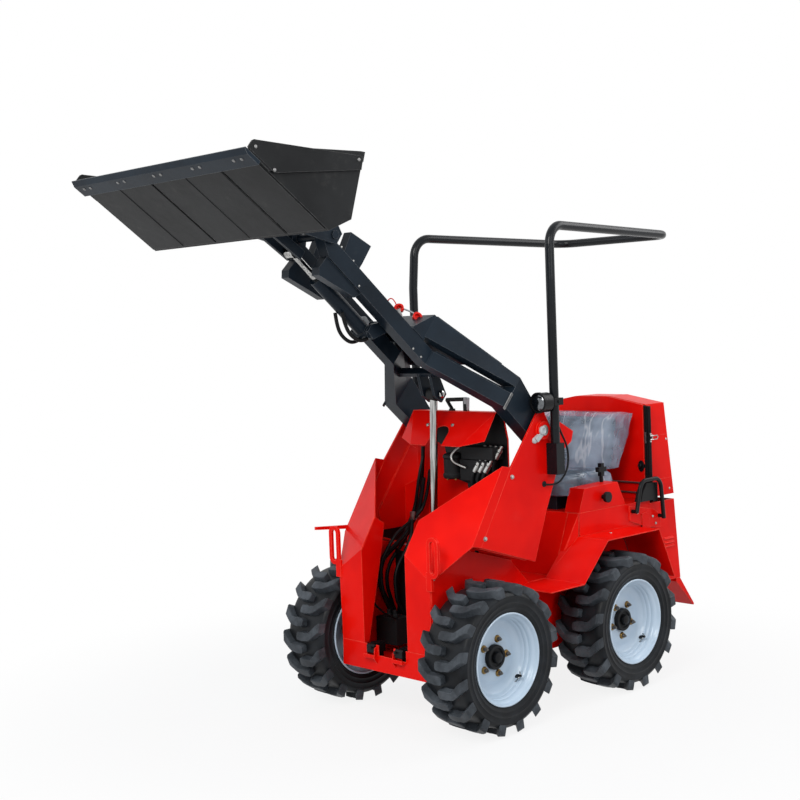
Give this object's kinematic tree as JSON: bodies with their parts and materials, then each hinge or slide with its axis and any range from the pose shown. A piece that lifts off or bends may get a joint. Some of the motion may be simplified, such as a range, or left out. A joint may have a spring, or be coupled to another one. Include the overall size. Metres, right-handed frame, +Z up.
{
  "type": "skid steer loader",
  "caption": "Small ride-on skid steer loader with a forked lift arm and bucket, folded sheet body, rear hood and an open roll-over frame.",
  "frame": {"origin": "on the ground, under the middle of the whole machine from the cutting edge to the rear skirt", "axes": "+X forward, the way the operator faces; +Y to the left of the operator; +Z up"},
  "size_m": [2.5802, 0.99, 2.0509],
  "materials": {
    "black_paint": "semi-gloss",
    "chrome_rod": "polished",
    "iron": "cast",
    "plastic_black": "matte",
    "red_paint": "gloss",
    "rubber_black": "matte",
    "seat_vinyl": "matte",
    "steel": "brushed",
    "tyre_rubber": "matte",
    "white_paint": "gloss"
  },
  "bodies": {
    "chassis": {"arm_pins": "steel", "dash_panel": "red_paint", "engine_block": "iron", "firewall": "red_paint", "floor_plate": "red_paint", "front_columns": "red_paint", "front_cover": "red_paint", "front_crossbar": "red_paint", "hand_controls": "plastic_black", "hood_latches": "steel", "hood_seal": "rubber_black", "hoses": "rubber_black", "main_frame": "red_paint", "rear_body": "red_paint", "rear_fenders": "red_paint", "rear_skirt": "red_paint", "rest_pads": "rubber_black", "rops": "black_paint", "seat_back": "seat_vinyl", "seat_base": "black_paint", "seat_cushion": "seat_vinyl", "seat_deck": "red_paint", "side_consoles": "red_paint", "towers": "red_paint", "valve_block": "iron", "wheel_motors": "iron", "work_lamps": "plastic_black"},
    "boom": {"boom_arms": "black_paint", "boom_cover": "black_paint", "safety_prop": "black_paint", "aux_couplers": "steel"},
    "bucket": {"bucket_shell": "black_paint", "cutting_edge": "black_paint", "coupler": "black_paint"},
    "lift_barrel": {"lift_barrel": "black_paint"},
    "lift_rod": {"lift_rod": "chrome_rod"},
    "tilt_barrel": {"tilt_barrel": "black_paint"},
    "tilt_rod": {"tilt_rod": "chrome_rod"},
    "hood": {"hood": "red_paint"},
    "wheel_front_left": {"tyre_front_left": "tyre_rubber", "rim_front_left": "white_paint"},
    "wheel_front_right": {"tyre_front_right": "tyre_rubber", "rim_front_right": "white_paint"},
    "wheel_rear_left": {"tyre_rear_left": "tyre_rubber", "rim_rear_left": "white_paint"},
    "wheel_rear_right": {"tyre_rear_right": "tyre_rubber", "rim_rear_right": "white_paint"}
  },
  "joints": [
    {"name": "boom_lift", "type": "hinge", "parent": "chassis", "child": "boom", "pos_m": [-0.19006, 0, 1.072], "axis": [0, 1, 0], "range_deg": [0, 91.5]},
    {"name": "bucket_tilt", "type": "hinge", "parent": "boom", "child": "bucket", "pos_m": [0.63455, 0, 1.81532], "axis": [0, -1, 0], "range_deg": [-77, 60]},
    {"name": "lift_barrel_swing", "type": "hinge", "parent": "chassis", "child": "lift_barrel", "pos_m": [0.08294, 0, 0.225], "axis": [0, -1, 0], "range_deg": [-1, 8]},
    {"name": "lift_rod_slide", "type": "slide", "parent": "lift_barrel", "child": "lift_rod", "axis": [-0.043, 0, 0.9991], "range_m": [-0.378, 0]},
    {"name": "tilt_barrel_swing", "type": "hinge", "parent": "boom", "child": "tilt_barrel", "pos_m": [0.39072, 0, 1.47086], "axis": [0, -1, 0], "range_deg": [-4, 4]},
    {"name": "tilt_rod_slide", "type": "slide", "parent": "tilt_barrel", "child": "tilt_rod", "axis": [0.7517, 0, 0.6595], "range_m": [-0.108, 0.085]},
    {"name": "hood_hinge", "type": "hinge", "parent": "chassis", "child": "hood", "pos_m": [-1.15306, 0, 0.705], "axis": [0, -1, 0], "range_deg": [0, 75]},
    {"name": "spin_front_left", "type": "hinge", "parent": "chassis", "child": "wheel_front_left", "pos_m": [0.17794, 0.38, 0.276], "axis": [0, 1, 0], "continuous": true},
    {"name": "spin_front_right", "type": "hinge", "parent": "chassis", "child": "wheel_front_right", "pos_m": [0.17794, -0.38, 0.276], "axis": [0, 1, 0], "continuous": true},
    {"name": "spin_rear_left", "type": "hinge", "parent": "chassis", "child": "wheel_rear_left", "pos_m": [-0.58806, 0.38, 0.276], "axis": [0, 1, 0], "continuous": true},
    {"name": "spin_rear_right", "type": "hinge", "parent": "chassis", "child": "wheel_rear_right", "pos_m": [-0.58806, -0.38, 0.276], "axis": [0, 1, 0], "continuous": true}
  ],
  "couplings": [
    {"joint": "lift_barrel_swing", "follows": "boom_lift", "ratio": 0.065},
    {"joint": "lift_rod_slide", "follows": "boom_lift", "m_per_rad": -0.2355},
    {"joint": "tilt_barrel_swing", "follows": "bucket_tilt", "ratio": 0.028},
    {"joint": "tilt_rod_slide", "follows": "bucket_tilt", "m_per_rad": 0.0791}
  ]
}
